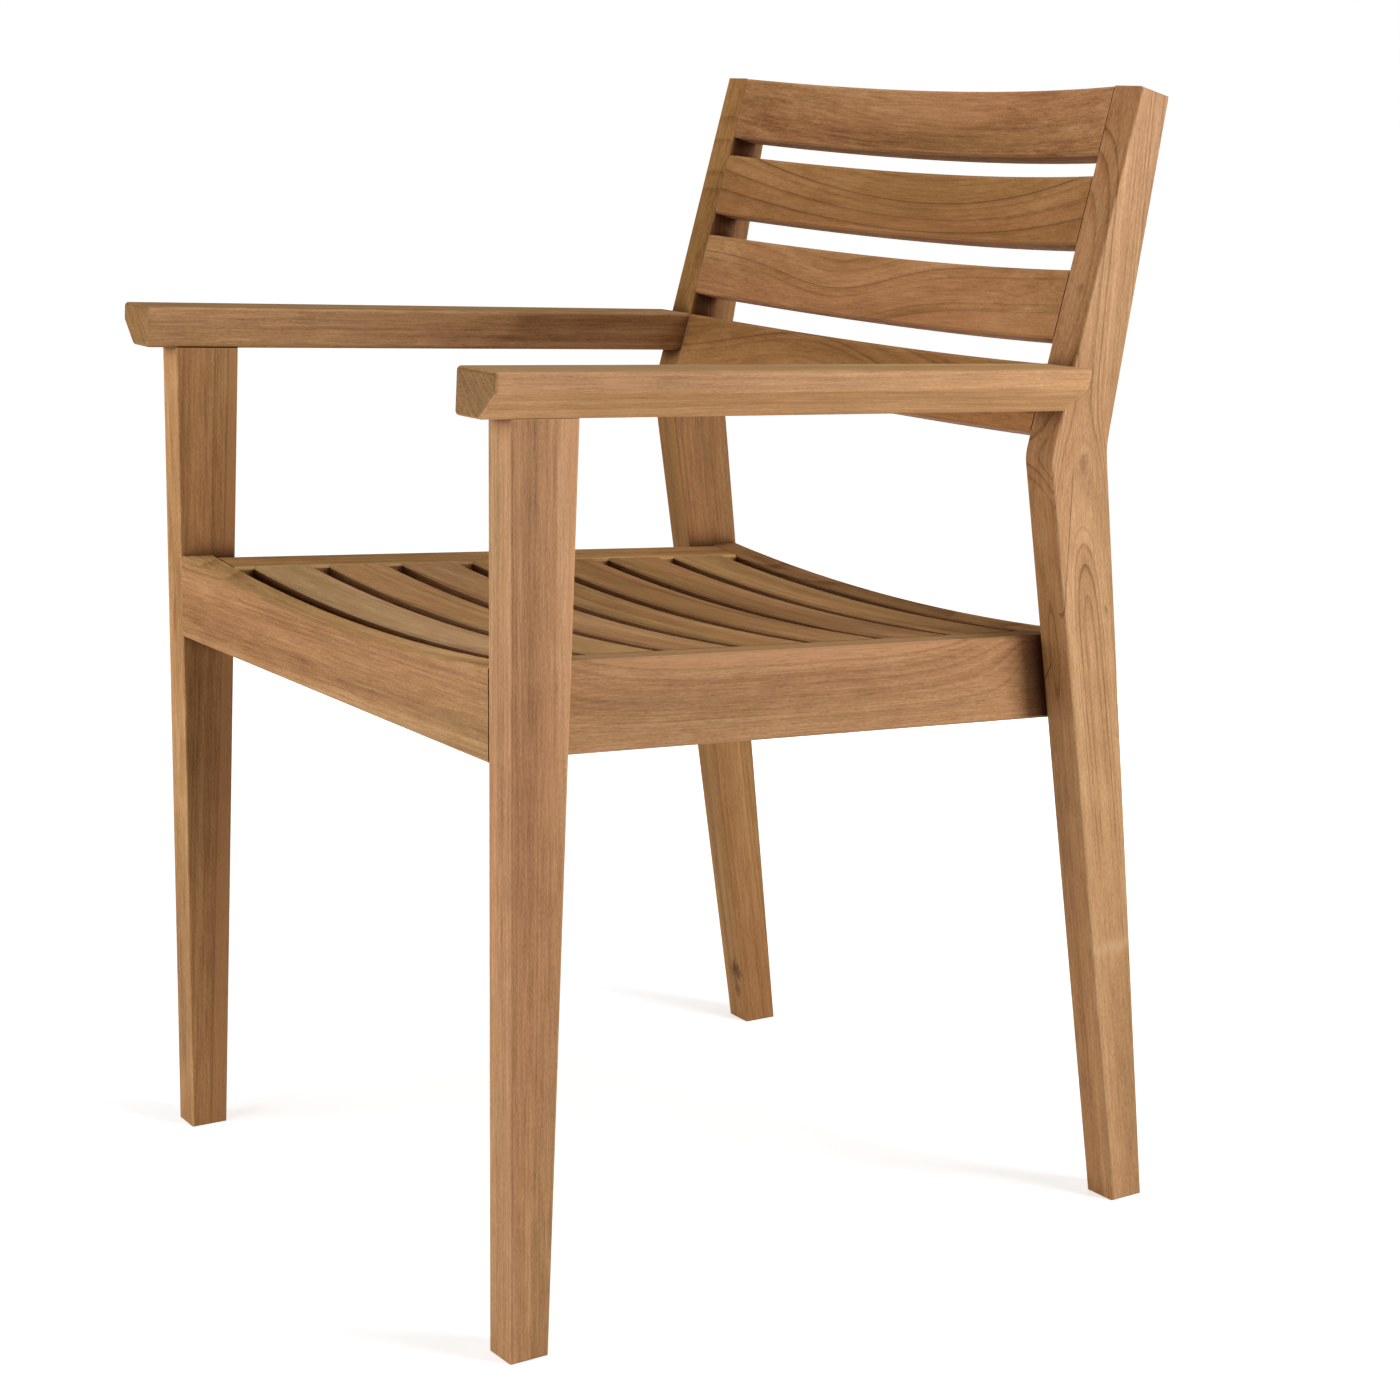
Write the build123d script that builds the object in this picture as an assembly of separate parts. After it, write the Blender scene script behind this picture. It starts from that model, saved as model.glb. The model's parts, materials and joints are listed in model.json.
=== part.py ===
from build123d import *
from math import cos, radians, sin, sqrt, tan
import os

os.makedirs("parts", exist_ok=True)

# Slatted garden armchair in solid wood, front towards -Y, standing on Z = 0.
# Setbacks run rearward from the front legs' front faces, heights run up from the floor.
# Lengths are in millimetres and angles in degrees.

# Plan of the chair
clear_width = 497.0  # between the front legs, at their front faces
side_angle = 1.22  # turn of each side frame, so that the chair narrows to the rear
leg_thickness = 30.0  # of every leg, across the chair

# Front legs, upright at the front and tapered on the rear edge
front_top_depth = 52.0
front_foot_depth = 29.5

# Rear legs, splayed below the bend and leaning back above it
rear_foot_setback = 543.0
rear_foot_depth = 29.5
bend_setback = 453.5
bend_height = 586.0
bend_depth = 54.0
bend_rise = 5.0  # height of the hollow behind the bend over the nose in front of it
nose_radius = 30.0
hollow_radius = 60.0
back_height = 851.5
back_lean = 15.66
post_top_depth = 28.0

# Armrests, sloping down to the rear
arm_front_height = 675.0  # of the top face, at the front end
arm_slope = 2.66
arm_overhang = 23.5  # past the front legs
arm_width = 50.0
arm_height = 32.0
arm_facet = 14.0  # upright part of the outer face, above its bevel

# Seat frame and slats, hollowed across the chair and sloping down to the rear
seat_height = 464.0  # of the hollow's lowest line, at the front
seat_slope = 3.2
seat_radius = 2450.0  # of the hollow
rail_drop = 52.5  # from the hollow's lowest line to the underside of the rails
front_rail_depth = 28.0
rear_rail_depth = 25.0
rear_rail_setback = 497.0  # of its front face
side_rail_width = 35.0
side_rail_gap = 5.0  # between a side rail and the legs beside it
slat_count = 7
slat_width = 49.0
slat_thickness = 18.0

# Back, four boards curved away from the sitter
back_hollow = 26.0  # depth of the curve in the middle
back_thickness = 24.0
top_rail_height = 51.5
top_gap = 15.5  # under the top rail
back_slat_height = 51.5
back_gap = 18.7  # between the lower slats

# Mortise and tenon joints
joint_gap = 0.2  # clearance round a tenon and beyond its end
tenon_thickness = 12.0
tenon_shoulder = 8.0
leg_tenon_length = 14.0  # of the rails and back boards, into the legs
side_tenon_length = 15.0  # of the side rails, into the front and rear rails
slat_tenon_length = 12.0
slat_tenon_thickness = 9.0
slat_tenon_shoulder = 5.0
arm_tenon_length = 18.0  # of the armrests, into the posts
arm_tenon_thickness = 8.0
arm_tenon_web = 3.0  # wood left between an armrest's tenon and the back's
leg_top_tenon = 18.0  # of the front legs, up into the armrests

# Eased edges, rounded on the legs and armrests and bevelled on the hollowed and curved boards
leg_edge = 2.0
arm_edge = 3.0
side_rail_edge = 2.0
rail_edge = 1.5
slat_edge = 1.8
back_edge = 1.8


# Helpers
def half_width(setback, inset=0.0):
    """Half the width between the side frames at a setback, held back from each by an inset."""
    return clear_width / 2 - setback * tan(radians(side_angle)) - inset


def block(low, high, grow=0.0):
    """Box between two corners, grown on every side."""
    size = [b - a + 2 * grow for a, b in zip(low, high)]
    middle = [(a + b) / 2 for a, b in zip(low, high)]
    return Pos(*middle) * Box(*size)


def plan_prism(corners):
    """Upright block over a plan, from the floor to well above the chair."""
    return extrude(make_face(Polyline(*corners, close=True)), 2 * back_height)


def between(inset=0.0):
    """Everything between the two side frames."""
    near, far = -rear_foot_setback, 3 * rear_foot_setback
    corners = [(half_width(near, inset), near), (half_width(far, inset), far)]
    corners += [(-half_width(far, inset), far), (-half_width(near, inset), near)]
    return plan_prism(corners)


def eased(edges, radius, wood):
    """Round edges, by no more than the wood between them allows."""
    return fillet(edges, min(radius, wood / 3))


def bevelled(edges, size, wood):
    """Bevel edges, by no more than the wood between them allows."""
    return chamfer(edges, min(size, wood / 3))


def long_edges(solid, length):
    return solid.edges().filter_by(lambda edge: edge.length > length)


def mirrored(solid):
    return mirror(solid, about=Plane.YZ)


# Side frames are drawn with their inner face on X = 0, then turned into place.
right_side = Location((clear_width / 2, 0, 0), (0, 0, side_angle))
arm_line = Plane(
    origin=(0, -arm_overhang, arm_front_height),
    x_dir=(1, 0, 0),
    z_dir=(0, cos(radians(arm_slope)), -sin(radians(arm_slope))),
)
back_line = Plane(
    origin=(0, bend_setback, bend_height),
    x_dir=(1, 0, 0),
    z_dir=(0, sin(radians(back_lean)), cos(radians(back_lean))),
)
seat_line = Plane(
    origin=(0, 0, seat_height),
    x_dir=(1, 0, 0),
    z_dir=(0, cos(radians(seat_slope)), -sin(radians(seat_slope))),
)


# Front leg, with a tenon up into the armrest
def under_arm(setback):
    """Height of the armrest's underside."""
    fall = (setback + arm_overhang) * tan(radians(arm_slope))
    return arm_front_height - arm_height / cos(radians(arm_slope)) - fall


front_outline = [
    (0, 0),
    (front_foot_depth, 0),
    (front_top_depth, under_arm(front_top_depth)),
    (0, under_arm(0)),
]
front_leg = extrude(Plane.YZ * make_face(Polyline(*front_outline, close=True)), leg_thickness)
leg_sides = front_leg.faces().sort_by(Axis.X)
leg_outline = leg_sides[0].edges().sort_by(Axis.Z)[:-1] + leg_sides[-1].edges().sort_by(Axis.Z)[:-1]
front_leg = eased(leg_outline, leg_edge, leg_thickness)

tenon_side = (leg_thickness - tenon_thickness) / 2
leg_tenon_low = (tenon_side, arm_height - leg_top_tenon, arm_overhang + tenon_shoulder)
leg_tenon_high = (
    tenon_side + tenon_thickness,
    arm_height + tenon_shoulder,
    arm_overhang + front_top_depth - tenon_shoulder,
)
front_leg += arm_line * block(leg_tenon_low, leg_tenon_high)

# Rear leg, sawn from one board
post_length = (back_height - bend_height) / cos(radians(back_lean))
post_front = back_line.from_local_coords((0, 0, post_length))
post_rear = back_line.from_local_coords((0, post_top_depth, post_length))
rear_outline = [
    (rear_foot_setback, 0),
    (rear_foot_setback + rear_foot_depth, 0),
    (bend_setback + bend_depth, bend_height + bend_rise),
    (post_rear.Y, post_rear.Z),
    (post_front.Y, post_front.Z),
    (bend_setback, bend_height),
]
rear_face = make_face(Polyline(*rear_outline, close=True))
rear_face = fillet(rear_face.vertices().sort_by_distance(rear_outline[5])[0], nose_radius)
rear_face = fillet(rear_face.vertices().sort_by_distance(rear_outline[2])[0], hollow_radius)
rear_leg = extrude(Plane.YZ * rear_face, leg_thickness)
post_sides = rear_leg.faces().sort_by(Axis.X)
rear_leg = eased(post_sides[0].edges() + post_sides[-1].edges(), leg_edge, leg_thickness)

# Armrest, butted on the post with a tenon into it
arm_section = [
    (0, 0),
    (arm_width, 0),
    (arm_width, arm_facet),
    (leg_thickness, arm_height),
    (0, arm_height),
]
armrest = extrude(arm_line * make_face(Polyline(*arm_section, close=True)), rear_foot_setback)
behind_post = back_line * block(
    (-arm_width, 0, -back_height), (2 * arm_width, back_height, back_height)
)
armrest -= behind_post
arm_ends = armrest.faces().sort_by(Axis.Y)
armrest = eased(armrest.edges() - arm_ends[-1].edges(), arm_edge, min(arm_facet, arm_height - arm_facet))

arm_tenon_start = leg_tenon_length + arm_tenon_web
arm_tenon_low = (arm_tenon_start, tenon_shoulder, 0)
arm_tenon_high = (arm_tenon_start + arm_tenon_thickness, arm_height - tenon_shoulder, rear_foot_setback)
arm_tenon_end = back_line * block(
    (-arm_width, -tenon_shoulder, -back_height), (2 * arm_width, arm_tenon_length, back_height)
)
arm_mortise_end = back_line * block(
    (-arm_width, -tenon_shoulder, -back_height), (2 * arm_width, arm_tenon_length + joint_gap, back_height)
)
armrest += arm_line * block(arm_tenon_low, arm_tenon_high) & arm_tenon_end
armrest -= arm_line * block(leg_tenon_low, leg_tenon_high, joint_gap)
rear_leg -= arm_line * block(arm_tenon_low, arm_tenon_high, joint_gap) & arm_mortise_end

front_leg = right_side * front_leg
rear_leg = right_side * rear_leg
armrest = right_side * armrest


# Seat, one hollow running over the rails and slats
def seat_board(top, bottom, curved=True):
    """Section below the seat's surface, from one depth to another, with a curved or flat underside."""
    reach = clear_width / 2 + leg_thickness

    def drop(depth):
        return sqrt((seat_radius + depth) ** 2 - reach**2) - seat_radius

    over = ThreePointArc((-reach, drop(top)), (0, top), (reach, drop(top)))
    under = Line((-reach, bottom), (reach, bottom))
    if curved:
        under = ThreePointArc((-reach, drop(bottom)), (0, bottom), (reach, drop(bottom)))
    return make_face([over, under, Line(over @ 0, under @ 0), Line(over @ 1, under @ 1)])


seat_run = 2 * rear_rail_setback
seat_hollow = extrude(seat_line * seat_board(0, rail_drop, curved=False), seat_run, both=True)

# Front rail
front_bottom = seat_height - rail_drop
front_rail = block((-clear_width, 0, front_bottom), (clear_width, front_rail_depth, 2 * seat_height))
front_hollow = extrude(seat_line * seat_board(0, 2 * rail_drop, curved=False), seat_run, both=True)
front_rail = front_rail & front_hollow
front_rail = bevelled(long_edges(front_rail, clear_width / 2), rail_edge, front_rail_depth) & between()
front_side = (front_rail_depth - tenon_thickness) / 2
front_tip = half_width(front_rail_depth / 2) + leg_tenon_length
front_fall = front_rail_depth * tan(radians(seat_slope))
front_tenon_low = (-front_tip, front_side, front_bottom + tenon_shoulder)
front_tenon_high = (front_tip, front_side + tenon_thickness, seat_height - front_fall - tenon_shoulder)
front_rail += block(front_tenon_low, front_tenon_high)
front_leg -= block(front_tenon_low, front_tenon_high, joint_gap)

# Rear rail, its top level from front to rear
rear_low = seat_height - rear_rail_setback * tan(radians(seat_slope))
rear_bottom = rear_low - rail_drop
rear_line = Plane(origin=(0, rear_rail_setback, rear_low), x_dir=(1, 0, 0), z_dir=(0, 1, 0))
rear_rail = extrude(rear_line * seat_board(0, rail_drop, curved=False), rear_rail_depth)
rear_rail = bevelled(long_edges(rear_rail, clear_width / 2), rail_edge, rear_rail_depth) & between()
rear_side = rear_rail_setback + (rear_rail_depth - tenon_thickness) / 2
rear_tip = half_width(rear_rail_setback + rear_rail_depth / 2) + leg_tenon_length
rear_tenon_low = (-rear_tip, rear_side, rear_bottom + tenon_shoulder)
rear_tenon_high = (rear_tip, rear_side + tenon_thickness, rear_low - tenon_shoulder)
rear_rail += block(rear_tenon_low, rear_tenon_high)
rear_leg -= block(rear_tenon_low, rear_tenon_high, joint_gap)


# Side rails, tenoned into the front and rear rails
def side_bar(outer, inner, start, end):
    """Upright block along the right side frame, between two insets from it."""
    corners = [(half_width(start, outer), start), (half_width(end, outer), end)]
    corners += [(half_width(end, inner), end), (half_width(start, inner), start)]
    return plan_prism(corners)


def side_tenon(grow=0.0):
    """Tenons of the right side rail, as one bar through it."""
    outer = side_rail_gap + (side_rail_width - tenon_thickness) / 2 - grow
    start = front_rail_depth - side_tenon_length - grow
    end = rear_rail_setback + side_tenon_length + grow
    bar = side_bar(outer, outer + tenon_thickness + 2 * grow, start, end)
    low = (-clear_width, tenon_shoulder - grow, -seat_run)
    high = (clear_width, rail_drop - tenon_shoulder + grow, seat_run)
    return bar & seat_line * block(low, high)


slat_inset = side_rail_gap + side_rail_width
side_rail = side_bar(side_rail_gap, slat_inset, front_rail_depth, rear_rail_setback) & seat_hollow
side_rail = bevelled(long_edges(side_rail, rear_rail_setback / 2), side_rail_edge, side_rail_width)
side_rail += side_tenon()
for mortise in (side_tenon(joint_gap), mirrored(side_tenon(joint_gap))):
    front_rail -= mortise
    rear_rail -= mortise

# Seat slats, spaced evenly between the front and rear rails and tenoned into the side rails
seat_length = rear_rail_setback - front_rail_depth
slat_gap = (seat_length - slat_count * slat_width) / (slat_count + 1)
seat_scale = 1 / cos(radians(seat_slope))
tenon_top = (slat_thickness - slat_tenon_thickness) / 2
seat_slats = []
for number in range(slat_count):
    start = (front_rail_depth + slat_gap + number * (slat_width + slat_gap)) * seat_scale
    place = seat_line * Pos(0, 0, start)
    slat = extrude(place * seat_board(0, slat_thickness), slat_width)
    slat = bevelled(long_edges(slat, clear_width / 2), slat_edge, slat_thickness) & between(slat_inset)

    tenon_place = seat_line * Pos(0, 0, start + slat_tenon_shoulder)
    tenon = extrude(
        tenon_place * seat_board(tenon_top, tenon_top + slat_tenon_thickness),
        slat_width - 2 * slat_tenon_shoulder,
    )
    seat_slats.append(slat + (tenon & between(slat_inset - slat_tenon_length)))

    mortise_place = seat_line * Pos(0, 0, start + slat_tenon_shoulder - joint_gap)
    mortise = extrude(
        mortise_place * seat_board(tenon_top - joint_gap, tenon_top + slat_tenon_thickness + joint_gap),
        slat_width - 2 * slat_tenon_shoulder + 2 * joint_gap,
    )
    side_rail -= mortise & between(slat_inset - slat_tenon_length - joint_gap)


# Back boards, curved in plan and tenoned into the posts
def back_board(bottom, height):
    """Curved board and its right tenon's corners, from a height up the lean of the back."""
    half = half_width(bend_setback)
    radius = (half**2 + back_hollow**2) / (2 * back_hollow)
    reach = half + leg_thickness
    past_post = back_hollow - radius + sqrt(radius**2 - reach**2)
    front = ThreePointArc((-reach, past_post), (0, back_hollow), (reach, past_post))
    rear = Pos(0, back_thickness) * front
    section = make_face([front, rear, Line(front @ 0, rear @ 0), Line(front @ 1, rear @ 1)])
    board = extrude(back_line * Pos(0, 0, bottom) * section, height)
    board = bevelled(long_edges(board, clear_width / 2), back_edge, back_thickness) & between()

    side = (back_thickness - tenon_thickness) / 2
    middle = back_line.from_local_coords((0, back_thickness / 2, bottom + height / 2))
    shoulder = half_width(middle.Y)
    low = (shoulder - tenon_shoulder, side, bottom + tenon_shoulder)
    high = (shoulder + leg_tenon_length, side + tenon_thickness, bottom + height - tenon_shoulder)
    tenon = back_line * block(low, high)
    return board + tenon + mirrored(tenon), back_line * block(low, high, joint_gap)


top_bottom = post_length - top_rail_height
upper_bottom = top_bottom - top_gap - back_slat_height
middle_bottom = upper_bottom - back_gap - back_slat_height
lower_bottom = middle_bottom - back_gap - back_slat_height
top_rail, top_mortise = back_board(top_bottom, top_rail_height)
upper_slat, upper_mortise = back_board(upper_bottom, back_slat_height)
middle_slat, middle_mortise = back_board(middle_bottom, back_slat_height)
lower_slat, lower_mortise = back_board(lower_bottom, back_slat_height)
for mortise in (top_mortise, upper_mortise, middle_mortise, lower_mortise):
    rear_leg -= mortise

# Named pieces
nodes = {
    "front_leg_right": front_leg,
    "front_leg_left": mirrored(front_leg),
    "rear_leg_right": rear_leg,
    "rear_leg_left": mirrored(rear_leg),
    "armrest_right": armrest,
    "armrest_left": mirrored(armrest),
    "seat_front_rail": front_rail,
    "seat_rear_rail": rear_rail,
    "seat_side_rail_right": side_rail,
    "seat_side_rail_left": mirrored(side_rail),
    "back_top_rail": top_rail,
    "back_slat_upper": upper_slat,
    "back_slat_middle": middle_slat,
    "back_slat_lower": lower_slat,
}
for number, slat in enumerate(seat_slats, start=1):
    nodes[f"seat_slat_{number}"] = slat

# Origin on the floor, in the middle of the chair's length and width
extent = Compound(children=[solid.moved(Location()) for solid in nodes.values()]).bounding_box()
to_origin = Pos(0, -(extent.min.Y + extent.max.Y) / 2, 0)
for name, solid in nodes.items():
    export_step(to_origin * solid, f"parts/{name}.step")
print("size", extent.size, "setback of the origin", (extent.min.Y + extent.max.Y) / 2)
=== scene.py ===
import json
from math import cos, radians, sin, tan

import bpy
from mathutils import Matrix, Vector

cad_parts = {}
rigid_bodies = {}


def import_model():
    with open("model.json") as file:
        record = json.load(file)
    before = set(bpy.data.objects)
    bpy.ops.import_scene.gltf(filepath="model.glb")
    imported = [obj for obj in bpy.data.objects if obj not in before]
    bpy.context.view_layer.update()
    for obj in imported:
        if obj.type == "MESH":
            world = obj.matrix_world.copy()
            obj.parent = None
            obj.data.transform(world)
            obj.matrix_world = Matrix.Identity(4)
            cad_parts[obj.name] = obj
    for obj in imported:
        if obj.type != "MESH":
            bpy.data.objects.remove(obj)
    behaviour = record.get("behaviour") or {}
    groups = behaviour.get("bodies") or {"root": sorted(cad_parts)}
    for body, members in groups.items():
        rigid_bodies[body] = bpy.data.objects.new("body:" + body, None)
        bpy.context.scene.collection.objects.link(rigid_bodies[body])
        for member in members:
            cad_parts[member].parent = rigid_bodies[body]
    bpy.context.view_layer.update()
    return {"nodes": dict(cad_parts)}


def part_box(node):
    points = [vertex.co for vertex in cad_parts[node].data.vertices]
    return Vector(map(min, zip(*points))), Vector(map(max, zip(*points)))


# Slatted teak garden armchair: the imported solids, dressed in sanded teak, on a pale studio floor.
for leftover in list(bpy.data.objects):
    bpy.data.objects.remove(leftover)
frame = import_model()
nodes = frame["nodes"]

# Slopes in degrees that the grain follows. On a post it leans less than the post does.
side_angle = 1.22
arm_slope = 2.66
seat_slope = 3.2
back_lean = 15.66
leg_splay = 8.68
post_grain = 4.6

# Where a rear leg bends into its post, in metres
bend_height = 0.586
bend_rounding = 0.03
bend_setback = 0.027

# Camera, as it stood for the photograph
photo_side = 1400
camera_place = (1.8905, -1.1921, 0.8667)
camera_yaw = 57.30
camera_pitch = 10.86
camera_roll = 0.56
focal_pixels = 2937.2
centre_pixel = (665.5, 623.2)
sensor_width = 36.0


# Colours
def srgb(*levels):
    """Linear colour from the levels 0 to 255 that a screen shows."""
    shares = [level / 255 for level in levels]
    return [s / 12.92 if s <= 0.04045 else ((s + 0.055) / 1.055) ** 2.4 for s in shares]


def cast(colour, shares):
    """A colour with each channel times its share."""
    return [c * s for c, s in zip(colour, shares)]


teak_dark = srgb(124, 83, 48)
teak_mid = srgb(174, 129, 88)
teak_light = srgb(208, 166, 126)
line_colour = srgb(92, 60, 34)
pale_wood = srgb(199, 160, 121)
end_colour = srgb(146, 107, 60)
rosy_cast = (1.04, 0.985, 0.97)
olive_cast = (0.97, 1.01, 0.93)
# Colour of the painted shade in tight corners, as shares of the dark wood
dirt_cast = (0.31, 0.125, 0.03)
end_dark, end_light = 0.5, 1.45


# Node graphs
class Graph:
    """Short calls for building nodes. A value is a socket, a number or a vector."""

    def __init__(self, owner):
        owner.use_nodes = True
        self.tree = owner.node_tree
        self.tree.nodes.clear()

    def feed(self, socket, value):
        if isinstance(value, bpy.types.NodeSocket):
            self.tree.links.new(value, socket)
        else:
            socket.default_value = value

    def node(self, kind, values=(), **settings):
        """A node with its settings made, and its inputs fed in order or by name."""
        made = self.tree.nodes.new(kind)
        for name, setting in settings.items():
            setattr(made, name, setting)
        for key, value in values.items() if isinstance(values, dict) else enumerate(values):
            self.feed(made.inputs[key], value)
        return made

    def math(self, operation, *values):
        return self.node("ShaderNodeMath", values, operation=operation).outputs[0]

    def vector(self, operation, *values):
        made = self.node("ShaderNodeVectorMath", values, operation=operation)
        return made.outputs["Value" if operation in ("DOT_PRODUCT", "LENGTH") else "Vector"]

    def combine(self, x, y, z):
        return self.node("ShaderNodeCombineXYZ", (x, y, z)).outputs[0]

    def noise(self, place, waves, detail, roughness=0.5):
        """Noise from 0 to 1, with so many waves to a unit of each direction."""
        values = {"Vector": self.vector("MULTIPLY", place, waves), "Scale": 1.0,
                  "Detail": detail, "Roughness": roughness}
        return self.node("ShaderNodeTexNoise", values, noise_dimensions="3D").outputs["Fac"]

    def swing(self, *wave):
        """Noise about nought."""
        return self.math("SUBTRACT", self.noise(*wave), 0.5)

    def range(self, value, low, high, to_low=0.0, to_high=1.0):
        """A smooth step, from to_low at low to to_high at high."""
        values = (value, low, high, to_low, to_high)
        return self.node("ShaderNodeMapRange", values, interpolation_type="SMOOTHSTEP").outputs[0]

    def ramp(self, value, stops):
        made = self.node("ShaderNodeValToRGB", [value])
        steps = made.color_ramp.elements
        while len(steps) < len(stops):
            steps.new(0.5)
        for step, (position, colour) in zip(steps, stops):
            step.position = position
            step.color = (*colour, 1.0)
        return made.outputs[0]

    def mix(self, share, first, second, blend="MIX"):
        made = self.node("ShaderNodeMix", {"Factor": share}, data_type="RGBA", blend_type=blend)
        for name, value in (("A", first), ("B", second)):
            socket = next(s for s in made.inputs if s.name == name and s.type == "RGBA")
            self.feed(socket, (*value, 1.0) if isinstance(value, (list, tuple)) else value)
        return next(s for s in made.outputs if s.type == "RGBA")


# How growth layers lie in a board, whose directions u, v and w are along, across and depth
def bowed(centre, curve):
    """Layers bent into an even bow along the board."""
    def layer(g, u, v, w):
        away = g.math("SUBTRACT", u, centre)
        return g.math("MULTIPLY_ADD", g.math("MULTIPLY", away, away), -curve, v)
    return layer


def cupped(centre, steep, low=-0.03, high=0.025):
    """Layers that turn up towards the board's ends, the more the higher they lie."""
    def layer(g, u, v, w):
        away = g.math("ABSOLUTE", g.math("SUBTRACT", u, centre))
        turned = g.math("MULTIPLY", g.math("POWER", away, 4.0), g.range(v, low, high))
        return g.math("MULTIPLY_ADD", turned, -steep, v)
    return layer


def fanned(centre, lift, spread):
    """Bowed layers that flatten out towards one edge of the board."""
    def layer(g, u, v, w):
        away = g.math("SUBTRACT", u, centre)
        widening = g.math("MULTIPLY_ADD", g.math("MULTIPLY", away, away), spread, 1.0)
        return g.math("DIVIDE", g.math("ADD", v, lift), widening)
    return layer


def dipped(centre, depth, reach, rise=0.0):
    """Layers with one dip, rising along the board."""
    def layer(g, u, v, w):
        away = g.math("SUBTRACT", u, centre)
        square = g.math("POWER", g.math("MULTIPLY", g.math("ABSOLUTE", away), 1 / reach), 2.0)
        hollow = g.math("SUBTRACT", g.math("EXPONENT", g.math("MULTIPLY", square, -1.0)), 1.0)
        return g.math("MULTIPLY_ADD", away, -rise, g.math("MULTIPLY_ADD", hollow, depth, v))
    return layer


def slanted(lean, tilt=0.0):
    """Layers that run off the board's line by a lean, and lie in it at a tilt."""
    def layer(g, u, v, w):
        turned = g.math("MULTIPLY_ADD", w, tan(radians(tilt)), v)
        return g.math("MULTIPLY_ADD", u, -lean, turned)
    return layer


def arched(low, high, centre, heart, flatness=0.5, draw=0.03):
    """Layers round a heart that draws away between two heights, so that they close in arches."""
    def layer(g, u, v, w):
        off = g.math("SUBTRACT", v, centre)
        behind = g.math("MULTIPLY", g.math("SUBTRACT", w, heart), flatness)
        return g.vector("LENGTH", g.combine(off, behind, g.range(u, low, high, 0.0, draw)))
    return layer


# Noises of teak: waves to the metre along, across and into the board, detail, and roughness if given
wander = (3.0, 7, 7), 0.0
ripple = (14, 30, 30), 0.0
fray = (170, 330, 330), 2.0, 0.6
patches = (2.2, 20, 20), 1.0
stripes = (1.3, 110, 110), 2.0
mottling = (30, 75, 75), 1.0
strands = (5, 340, 340), 1.0
fibres = (38, 850, 850), 1.0
specks = (330, 1300, 1300), 0.0
hues = (1.6, 16, 16), 1.0
pores = (120, 1250, 1250), 1.0
breaks = (6, 3, 3), 1.0

# The same for rings and end grain, with the seed as the third direction
ring_drift = (0.6, 90, 1), 1.0
end_specks = (900, 900, 1), 2.0, 0.7
end_arcs = (40, 480, 1), 1.0

# How much the noises of tone count: patches, stripes, mottling, strands, fibres, specks
tone_shares = (0.80, 0.65, 0.26, 0.50, 0.55, 0.38)

# How strong other features are, as shares
wander_share, ripple_share = 4.0, 0.4
knot_share, soft_line_share, pore_share, sap_blend = 0.5, 0.28, 0.45, 0.35
arc_share, speckle_share = 0.35, 0.65
# Share of the paler edges, which are partly wear and partly a painted highlight
pale_edge_share = 0.35
pore_relief, fibre_relief, relief_strength = -0.8, 0.6, 0.3
sheen, smoothest, roughest, dull_share = 0.25, 0.48, 0.62, 0.38

# Sizes of features, in metres
sap_rim, sap_fray = 0.0008, 0.002
band_fray = 0.018
# Radius of the edge rounding that is painted paler, part wear and part painted highlight
pale_edge_radius = 0.002
# Reach of the painted shade in corners, and the heights above the floor over which it comes in
dirt_reach = 0.03
unshaded_height, dirty_height = 0.02, 0.07
pore_depth = 0.0004

seed_steps = (3.71, 1.93, 2.57)


def looking(g, normal, way, share=1.0, either=False):
    """A share on faces that look one way, or with either the opposite way too."""
    cosine = g.vector("DOT_PRODUCT", normal, way)
    if either:
        cosine = g.math("ABSOLUTE", cosine)
    turned_from, turned_to = 0.6, 0.9
    return g.range(cosine, turned_from, turned_to, 0.0, share)


def blot(g, radii, frayed, share):
    """A dark spot that fades out, frayed, at about one radius."""
    fray_share, rim, heart = 1.8, 1.2, 0.1
    return g.range(g.math("MULTIPLY_ADD", frayed, fray_share, radii), rim, heart, 0.0, share)


def straightened(g, u, v):
    """Distance across a rear leg from the line of its grain, which bends with the leg."""
    height = g.math("SUBTRACT", u, bend_height)
    lower = g.math("MULTIPLY", height, -tan(radians(leg_splay)))
    upper = g.math("MULTIPLY", height, tan(radians(post_grain)))
    return g.math("SUBTRACT", v, g.math("SMOOTH_MAX", lower, upper, bend_rounding))


def knot(g, u, v, frayed, height, side, radius):
    """Grain that flows round a knot, and the knot's spot."""
    shortening = 0.55
    off = g.math("SUBTRACT", v, side)
    above = g.math("MULTIPLY", g.math("SUBTRACT", u, height), shortening)
    radii = g.math("MULTIPLY", g.vector("LENGTH", g.combine(above, off, 0.0)), 1 / radius)
    outside = g.math("POWER", g.math("MAXIMUM", radii, 1.0), 2.0)
    return g.math("SUBTRACT", v, g.math("DIVIDE", off, outside)), blot(g, radii, frayed, knot_share)


def growth_rings(g, u, layer, seed, spacing, quiet):
    """Thin rings, sharp on one side, each of its own strength, and fainter below quiet heights."""
    start, peak = 0.55, 0.95
    rings_of_drift = 2.4
    quiet_share = 0.3
    other_seed = seed + 7.3
    strengths = (0.9, 0.55 / spacing, 1), 0.0
    drift = g.noise(g.combine(u, layer, seed), *ring_drift)
    drift = g.math("MULTIPLY_ADD", drift, rings_of_drift, seed)
    phase = g.math("FRACT", g.math("MULTIPLY_ADD", layer, 1 / spacing, drift))
    late = g.math("MULTIPLY", g.range(phase, start, peak), g.range(phase, 1.0, peak))
    strength = g.range(g.noise(g.combine(u, layer, other_seed), *strengths), 0.38, 0.72)
    late = g.math("MULTIPLY", late, strength)
    if quiet is not None:
        late = g.math("MULTIPLY", late, g.range(u, *quiet, quiet_share, 1.0))
    return late


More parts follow.
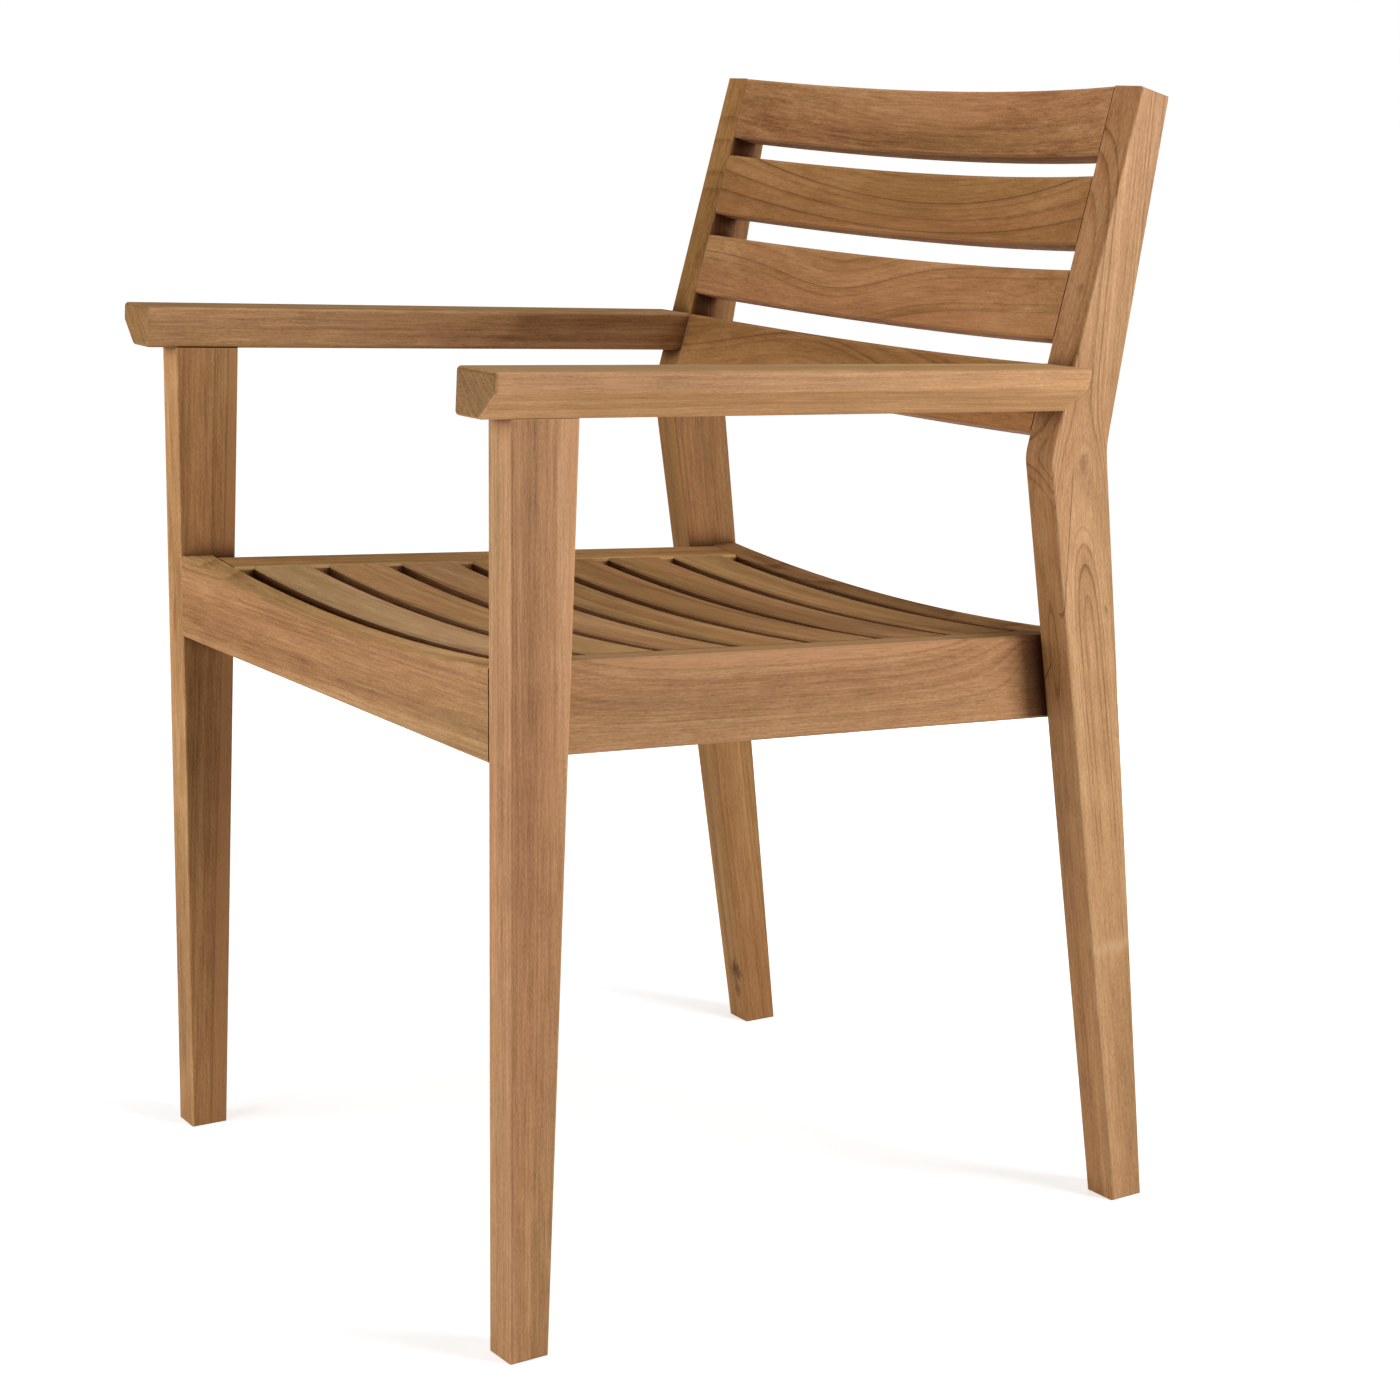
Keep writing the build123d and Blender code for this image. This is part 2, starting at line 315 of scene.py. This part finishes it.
def growth_line(g, layer, level, strength, grain):
    """One dark line along a layer, sharp with a soft side, and broken here and there."""
    core, below, above, soft_below = 0.0001, 0.0008, 0.0006, 0.0035
    faintest = 0.45
    gap = g.math("SUBTRACT", layer, level)
    sharp = g.math("MULTIPLY", g.range(gap, -below, -core), g.range(gap, above, core))
    soft = g.math("MULTIPLY", g.range(gap, -soft_below, 0.0), g.range(gap, above, 0.0))
    share = g.math("MAXIMUM", sharp, g.math("MULTIPLY", soft, soft_line_share))
    broken = g.range(g.noise(grain, *breaks), 0.25, 0.55, faintest, 1.0)
    return g.math("MULTIPLY", share, g.math("MULTIPLY", broken, strength))


def end_grain(g, v, w, seed, colour):
    """Pitted end grain with faint arcs."""
    speckle = g.noise(g.combine(v, w, seed), *end_specks)
    turned = g.combine(g.math("ADD", v, w), g.math("SUBTRACT", v, w), seed)
    pitted = g.math("MULTIPLY", speckle, speckle_share)
    pitted = g.math("MULTIPLY_ADD", g.noise(turned, *end_arcs), arc_share, pitted)
    darkest, lightest = ([c * share for c in colour] for share in (end_dark, end_light))
    return g.ramp(pitted, [(0.34, darkest), (0.5, colour), (0.66, lightest)])


def teak(name, axes, place, seed, figure=slanted(0.0), tint=(1, 1, 1), faced=None, ends=(1, 1, 1),
         sway=0.003, spacing=0.005, rings=0.3, quiet=None, contrast=1.0, flecks=0.5, pale=None, lines=(),
         knots=(), marks=None, bands=(), stains=(), dirt=0.92, bend=False):
    """Sanded teak for one board, as a solid texture in the board's own directions: along, across, depth.

    figure is how its layers lie. tint, ends, and faced with its direction colour the board, its end
    grain and one of its faces. sway is how far the grain wanders. spacing, rings and quiet are the
    rings' distance, strength, and the heights below which they fade. pale is the layer where paler
    wood begins, on which side, and its share. lines are layers with strengths, knots have a height,
    side and radius, and marks draws a board's own cracks. bands are pale, across the flat sides, with
    a height, half width and share. stains lie on the front face, with x, z, width, height and share.
    """
    material = bpy.data.materials.new(f"teak_{name}")
    g = Graph(material)
    along, _, depth = axes
    dark, mid, light, line, sap = (cast(colour, tint) for colour in (
        teak_dark, teak_mid, teak_light, line_colour, pale_wood))
    geometry = g.node("ShaderNodeNewGeometry").outputs
    normal = geometry["Normal"]
    spot = g.node("ShaderNodeTexCoord").outputs["Object"]
    u, v, w = (g.vector("DOT_PRODUCT", g.vector("SUBTRACT", spot, place), axis) for axis in axes)
    if bend:
        v = straightened(g, u, v)

    # Grain flows round the knots, and wanders a little from the board's own line.
    offset = [seed * step for step in seed_steps]
    straight = g.vector("ADD", g.combine(u, v, w), offset)
    frayed = g.swing(straight, *fray)
    knotted = 0.0
    for height, side, radius in knots:
        v, spotted = knot(g, u, v, frayed, height, side, radius)
        knotted = g.math("MAXIMUM", spotted, knotted)
    v = g.math("MULTIPLY_ADD", g.swing(straight, *wander), wander_share * sway, v)
    v = g.math("MULTIPLY_ADD", g.swing(straight, *ripple), ripple_share * sway, v)
    grain = g.vector("ADD", g.combine(u, v, w), offset)
    layer = figure(g, u, v, w)
    flow = g.vector("ADD", g.combine(u, layer, w), offset)

    # Tone, from dark to light
    stripe, strand = (g.noise(flow, *wave) for wave in (stripes, strands))
    patch, mottle, fibre, speck = (g.noise(grain, *wave) for wave in (patches, mottling, fibres, specks))
    tone = 0.5
    for noise, share in zip((patch, stripe, mottle, strand, fibre, speck), tone_shares):
        tone = g.math("MULTIPLY_ADD", g.math("SUBTRACT", noise, 0.5), share * contrast, tone)
    late = growth_rings(g, u, layer, seed, spacing, quiet)
    tone = g.math("MULTIPLY_ADD", late, -rings, tone)
    colour = g.ramp(tone, [(0.0, dark), (0.5, mid), (1.0, light)])

    # Some of the wood is pinker, some more olive.
    hue = g.range(g.noise(grain, *hues), 0.3, 0.7)
    rosy, olive = (g.mix(1.0, colour, share, "MULTIPLY") for share in (rosy_cast, olive_cast))
    colour = g.mix(hue, rosy, olive)

    # Paler wood on one side of a layer. On the right front leg this pale strip is a painted highlight along
    # the eased rear edge.
    if pale is not None:
        level, towards, share = pale
        beyond = g.math("MULTIPLY", g.math("SUBTRACT", layer, level), towards)
        beyond = g.math("MULTIPLY_ADD", frayed, sap_fray, beyond)
        paler = g.mix(sap_blend, sap, colour, "OVERLAY")
        colour = g.mix(g.range(beyond, -sap_rim, sap_rim, 0.0, share), colour, paler)

    # Open pores, as short dashes along the grain, and then lines, knots and cracks
    dash = g.range(g.noise(grain, *pores), 0.60, 0.74)
    colour = g.mix(g.math("MULTIPLY", dash, pore_share * flecks), colour, line)
    for level, strength in lines:
        colour = g.mix(growth_line(g, layer, level, strength, grain), colour, line)
    if knots:
        colour = g.mix(knotted, colour, line)
    if marks:
        colour = g.mix(marks(g, spot, frayed), colour, line)

    # Pale bands across the grain of the flat sides, and stains on the face to the front
    for height, half, share in bands:
        away = g.math("SUBTRACT", u, height)
        away = g.math("MULTIPLY_ADD", g.math("SUBTRACT", mottle, 0.5), band_fray, away)
        band = g.range(g.math("ABSOLUTE", away), half, 0.0)
        flat = looking(g, normal, depth, share, either=True)
        colour = g.mix(g.math("MULTIPLY", band, flat), colour, sap)
    for x, z, wide, high, share in stains:
        away = g.vector("MULTIPLY", g.vector("SUBTRACT", spot, (x, 0, z)), (1 / wide, 0, 1 / high))
        stain = blot(g, g.vector("LENGTH", away), frayed, share)
        colour = g.mix(g.math("MULTIPLY", stain, looking(g, normal, to_front)), colour, line)

    # A face that looks one way is painted paler or darker than the rest, as painted light and shade on that
    # face, and end grain is darker.
    if faced is not None:
        way, shift = faced
        colour = g.mix(looking(g, normal, way), colour, g.mix(1.0, colour, shift, "MULTIPLY"))
    end_tone = end_grain(g, v, w, seed, cast(end_colour, ends))
    colour = g.mix(looking(g, normal, along, either=True), colour, end_tone)

    # Edges are painted a little paler, partly as wear and partly as a painted highlight along their rounding,
    # and tight corners off the floor get painted shade.
    rounded = g.node("ShaderNodeBevel", {"Radius": pale_edge_radius}, samples=4).outputs[0]
    edge = g.vector("DOT_PRODUCT", rounded, geometry["True Normal"])
    colour = g.mix(g.range(edge, 0.995, 0.90, 0.0, pale_edge_share), colour, sap)
    shelter = g.node("ShaderNodeAmbientOcclusion", {"Distance": dirt_reach}, samples=8).outputs["AO"]
    off_floor = g.range(g.vector("DOT_PRODUCT", spot, up), unshaded_height, dirty_height)
    tight = g.math("MULTIPLY", g.range(shelter, 0.84, 0.45), off_floor)
    colour = g.mix(g.math("MULTIPLY", tight, dirt), colour, cast(dark, dirt_cast))

    # Pores are sunk, fibres stand up, and corners with painted shade are duller.
    relief = g.math("MULTIPLY_ADD", dash, pore_relief, g.math("MULTIPLY", fibre, fibre_relief))
    bump = g.node("ShaderNodeBump", {"Strength": relief_strength, "Distance": pore_depth, "Height": relief})
    sanded = g.range(stripe, 0.2, 0.8, smoothest, roughest)
    roughness = g.math("MULTIPLY_ADD", tight, dull_share, sanded)
    shader = g.node("ShaderNodeBsdfPrincipled", {
        "Base Color": colour, "Roughness": roughness, "Specular IOR Level": sheen,
        "Normal": bump.outputs[0]})
    g.node("ShaderNodeOutputMaterial", {"Surface": shader.outputs[0]})
    return material


# Cracks of the right rear leg, in metres
def stroke(g, across, z, low, high, half):
    """A thin line where across is nought, which runs out at a low and a high end."""
    runout = 0.012
    thin = g.range(g.math("ABSOLUTE", across), half, half * 0.3)
    ends = g.math("MULTIPLY", g.range(z, low, low + runout), g.range(z, high, high - runout))
    return g.math("MULTIPLY", thin, ends)


def rear_leg_marks(g, spot, frayed):
    """A crack down the outer side, and an eye with a split below it on the front."""
    def from_line(across, slope, start, shake):
        off = g.math("SUBTRACT", g.math("MULTIPLY_ADD", z, -slope, across), start)
        return g.math("MULTIPLY_ADD", frayed, shake, off)

    crack_share, eye_share, split_share = 0.75, 0.45, 0.85
    x, y, z = g.node("ShaderNodeSeparateXYZ", [spot]).outputs
    outer = g.range(x, 0.2615, 0.2635)
    front = g.range(y, 0.216, 0.212)
    crack_line = from_line(y, slope=0.034, start=0.1805, shake=0.0005)
    crack = stroke(g, crack_line, z, low=0.462, high=0.582, half=0.0006)
    side_mark = g.math("MULTIPLY", crack, crack_share)

    eye_x, eye_z, eye_half, eye_high = 0.2535, 0.440, 0.0042, 0.032
    aside = g.math("MULTIPLY", g.math("SUBTRACT", x, eye_x), 1 / eye_half)
    above = g.math("MULTIPLY", g.math("SUBTRACT", z, eye_z), 1 / eye_high)
    radii = g.math("MULTIPLY_ADD", frayed, 0.5, g.vector("LENGTH", g.combine(aside, above, 0.0)))
    from_rim = g.math("ABSOLUTE", g.math("SUBTRACT", radii, 1.0))
    eye = g.range(from_rim, 0.25, 0.03, 0.0, eye_share)
    split_line = from_line(x, slope=0.66, start=-0.0345, shake=0.001)
    split = stroke(g, split_line, z, low=0.402, high=0.437, half=0.0008)
    front_mark = g.math("MAXIMUM", eye, g.math("MULTIPLY", split, split_share))
    return g.math("MAXIMUM", g.math("MULTIPLY", side_mark, outer), g.math("MULTIPLY", front_mark, front))


# Directions and places of the boards
up = Vector((0, 0, 1))
across_chair = Vector((1, 0, 0))
to_front = Vector((0, -1, 0))


def rearward(side, slope=0.0):
    """Direction to the rear along one side of the chair, falling by a slope."""
    turn, fall = radians(side_angle) * side, radians(slope)
    return Vector((-sin(turn) * cos(fall), cos(turn) * cos(fall), -sin(fall)))


def board_axes(along, across):
    across = (across - along * across.dot(along)).normalized()
    return along, across, along.cross(across)


def middle_of(node):
    low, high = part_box(node)
    return (low + high) / 2


def foot_of(node):
    middle = middle_of(node)
    return (middle.x, middle.y, 0)


def bend_of(node):
    low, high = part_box(node)
    return ((low.x + high.x) / 2, low.y + bend_setback, 0)


right_leg, left_leg = (board_axes(up, rearward(side)) for side in (1, -1))
right_arm, left_arm = (board_axes(rearward(side, arm_slope), across_chair) for side in (1, -1))
right_rail, left_rail = (board_axes(rearward(side, seat_slope), up) for side in (1, -1))
cross_rail = board_axes(across_chair, up)
seat_slat = board_axes(across_chair, Vector((0, cos(radians(seat_slope)), -sin(radians(seat_slope)))))
back_board = board_axes(across_chair, Vector((0, sin(radians(back_lean)), cos(radians(back_lean)))))


# Boards
def dress(node, axes, place_of=middle_of, **look):
    board = nodes[node]
    board.data.materials.clear()
    board.data.materials.append(teak(node, axes, place_of(node), **look))


# The right front leg's pale strip at its rear edge is a painted highlight of the eased edge.
# Tints are partly the wood's own tone and partly painted light: boards on the lit near side are painted
# paler, and those on the far side darker. faced paints light or shade onto the face that looks one way.
dress("front_leg_right", right_leg, foot_of, seed=2.3, figure=slanted(0.0, 20), tint=(1.15, 1.13, 1.15),
      faced=(to_front, (1.08, 1.14, 1.16)), pale=(0.0112, 1, 0.55), rings=0.08, sway=0.001, contrast=0.85)
dress("front_leg_left", left_leg, foot_of, seed=0.3, figure=slanted(0.045), tint=(0.76, 0.68, 0.51),
      faced=(to_front, (1.46, 1.66, 1.98)), pale=(-0.0105, 1, 0.85),
      lines=((-0.0107, 0.45), (-0.0215, 0.25)), rings=0.15, sway=0.001, contrast=1.1)
dress("rear_leg_right", right_leg, bend_of, seed=6.1, figure=arched(0.43, 0.63, -0.004, 0.018),
      tint=(1.09, 1.11, 1.13), faced=(to_front, (0.97, 0.90, 0.80)), spacing=0.0022, rings=0.38,
      quiet=(0.22, 0.40), sway=0.0015, contrast=0.9, marks=rear_leg_marks, bend=True, dirt=0.6,
      knots=((0.5815, -0.0017, 0.0055), (0.4705, 0.0134, 0.0018)), bands=((0.209, 0.009, 0.4),),
      stains=((0.255, 0.707, 0.004, 0.006, 0.4),))
dress("rear_leg_left", left_leg, bend_of, seed=4.1, tint=(0.74, 0.66, 0.48),
      faced=(to_front, (1.27, 1.34, 1.39)), rings=0.2, contrast=0.9, bend=True,
      stains=((-0.2465, 0.049, 0.010, 0.011, 0.9), (-0.248, 0.030, 0.006, 0.010, 0.6)))
dress("armrest_right", right_arm, seed=10.4, tint=(1.33, 1.33, 1.36), faced=(up, (0.80, 0.90, 0.85)),
      ends=(0.92, 0.88, 0.82), rings=0.1, contrast=0.7)
dress("armrest_left", left_arm, seed=8.4, tint=(0.99, 0.99, 0.94), faced=(up, (0.95, 1.07, 1.02)),
      ends=(1.02, 1.03, 1.14), rings=0.25)
dress("seat_side_rail_right", right_rail, seed=14.7, figure=cupped(-0.02, 13.0), tint=(0.97, 0.93, 0.90),
      faced=(up, (0.84, 0.95, 0.93)), pale=(0.0215, 1, 0.6), lines=((0.0215, 0.2), (-0.0172, 0.25)),
      rings=0.2, flecks=0.8, contrast=0.9)
dress("seat_side_rail_left", left_rail, seed=12.7, tint=(1.06, 1.15, 1.00))
dress("seat_front_rail", cross_rail, seed=21.0, figure=slanted(0.02), tint=(0.93, 0.91, 0.80),
      faced=(up, (1.28, 1.46, 1.5)), rings=0.2, flecks=0.9, dirt=0.5)
dress("seat_rear_rail", cross_rail, seed=22.7, tint=(0.95, 0.93, 0.85))

# The slats' tints are partly painted light: the front slats are painted paler and greyer, as light and sheen,
# and the rear ones darker.
slat_tints = ((1.13, 1.29, 1.36), (1.08, 1.16, 1.07), (1.03, 1.02, 1.03), (0.87, 0.92, 0.80),
              (0.87, 0.83, 0.74), (0.83, 0.83, 0.73), (0.97, 1.01, 0.89))
for number, slat_tint in enumerate(slat_tints, start=1):
    dress(f"seat_slat_{number}", seat_slat, seed=30 + 1.37 * number, figure=slanted(0.01, 20),
          tint=slat_tint, rings=0.2, flecks=0.3, contrast=0.8)

# How much painted shade the back boards' corners get
back_dirt = 0.45
back_grain = {"sway": 0.001, "spacing": 0.008, "rings": 0.2, "contrast": 0.75, "dirt": back_dirt}
dress("back_top_rail", back_board, seed=50.0, figure=bowed(0.05, 0.15), tint=(1.02, 0.94, 0.87),
      rings=0.15, flecks=0.3, dirt=back_dirt)
dress("back_slat_upper", back_board, seed=52.1, figure=fanned(0.01, 0.0473, 10.0), tint=(0.95, 0.86, 0.68),
      lines=((0.0498, 0.75), (0.0372, 0.35), (0.0270, 0.65)), **back_grain)
dress("back_slat_middle", back_board, seed=54.3, figure=dipped(-0.075, 0.022, 0.09, 0.03),
      tint=(1.11, 1.05, 0.94), pale=(-0.0375, -1, 0.35), lines=((-0.0043, 0.6), (-0.0375, 0.5)), **back_grain)
dress("back_slat_lower", back_board, seed=56.4, figure=dipped(-0.09, -0.036, 0.13), tint=(0.97, 0.87, 0.67),
      lines=((0.0245, 0.6), (0.006, 0.3)), **back_grain)


# Studio
scene = bpy.context.scene


def area_light(name, place, aim, size, watts, mirrored=True):
    lamp = bpy.data.lights.new(name, "AREA")
    lamp.shape = "RECTANGLE"
    lamp.size, lamp.size_y = size
    lamp.energy = watts
    made = bpy.data.objects.new(name, lamp)
    made.location = place
    made.visible_glossy = mirrored
    made.rotation_euler = (Vector(aim) - Vector(place)).to_track_quat("-Z", "Y").to_euler()
    scene.collection.objects.link(made)


area_light("side_softbox", place=(1.7, 1.1, 1.1), aim=(0.1, 0.0, 0.5), size=(0.8, 0.8), watts=34.5)
area_light("front_softbox", place=(-0.2, -1.5, 0.6), aim=(0.0, 0.0, 0.5), size=(1.8, 0.7), watts=17.6)
area_light("top_softbox", place=(0.0, 0.2, 1.9), aim=(0.0, 0.0, 0.4), size=(0.8, 0.8), watts=11.5)
area_light("rear_softbox", place=(-1.3, 1.6, 0.22), aim=(0.0, 0.0, 0.4), size=(1.4, 0.3), watts=13.0,
           mirrored=False)


def for_camera(g, otherwise, to_camera):
    """One shader for the camera, and another for all other light."""
    seen = g.node("ShaderNodeLightPath").outputs["Is Camera Ray"]
    shaders = (otherwise.outputs[0], to_camera.outputs[0])
    return g.node("ShaderNodeMixShader", (seen, *shaders)).outputs[0]


# Floor: white to the camera, with the chair's shadow, and a plain pale reflector otherwise
floor_reach = 30.0
shadow_near, shadow_far, near_glow = 0.5, 2.2, 0.62
floor_material = bpy.data.materials.new("studio_floor")
g = Graph(floor_material)
from_chair = g.vector("LENGTH", g.node("ShaderNodeNewGeometry").outputs["Position"])
glow_strength = g.range(from_chair, shadow_near, shadow_far, near_glow, 1.0)
shaded = g.node("ShaderNodeBsdfDiffuse", {"Color": (0.8, 0.8, 0.8, 1)})
glow = g.node("ShaderNodeEmission", {"Strength": glow_strength})
white = g.node("ShaderNodeAddShader", (shaded.outputs[0], glow.outputs[0]))
plain = g.node("ShaderNodeBsdfDiffuse", {"Color": (0.92, 0.92, 0.92, 1)})
g.node("ShaderNodeOutputMaterial", {"Surface": for_camera(g, plain, white)})

corners = [(floor_reach * x, floor_reach * y, 0) for x, y in ((-1, -1), (1, -1), (1, 1), (-1, 1))]
floor_mesh = bpy.data.meshes.new("floor")
floor_mesh.from_pydata(corners, [], [(0, 1, 2, 3)])
floor_mesh.materials.append(floor_material)
floor = bpy.data.objects.new("floor", floor_mesh)
scene.collection.objects.link(floor)

# World: white to the camera, a weak warm fill on the chair
world = bpy.data.worlds.new("studio")
g = Graph(world)
fill = g.node("ShaderNodeBackground", {"Color": (1.0, 0.90, 0.76, 1), "Strength": 0.03})
backdrop = g.node("ShaderNodeBackground", {"Color": (1, 1, 1, 1), "Strength": 1.0})
g.node("ShaderNodeOutputWorld", {"Surface": for_camera(g, fill, backdrop)})
scene.world = world
scene.view_settings.view_transform = "Standard"

# Camera
yaw, pitch, roll = radians(camera_yaw), radians(camera_pitch), radians(camera_roll)
forward = Vector((-sin(yaw) * cos(pitch), cos(yaw) * cos(pitch), -sin(pitch)))
level_right = Vector((cos(yaw), sin(yaw), 0))
level_up = level_right.cross(forward)
right = cos(roll) * level_right + sin(roll) * level_up
upward = -sin(roll) * level_right + cos(roll) * level_up
lens = bpy.data.cameras.new("camera")
lens.sensor_width = sensor_width
lens.lens = focal_pixels / photo_side * sensor_width
lens.shift_x = 0.5 - centre_pixel[0] / photo_side
lens.shift_y = centre_pixel[1] / photo_side - 0.5
camera = bpy.data.objects.new("camera", lens)
turn = Matrix((right, upward, -forward)).transposed()
camera.matrix_world = Matrix.Translation(camera_place) @ turn.to_4x4()
scene.collection.objects.link(camera)
scene.camera = camera
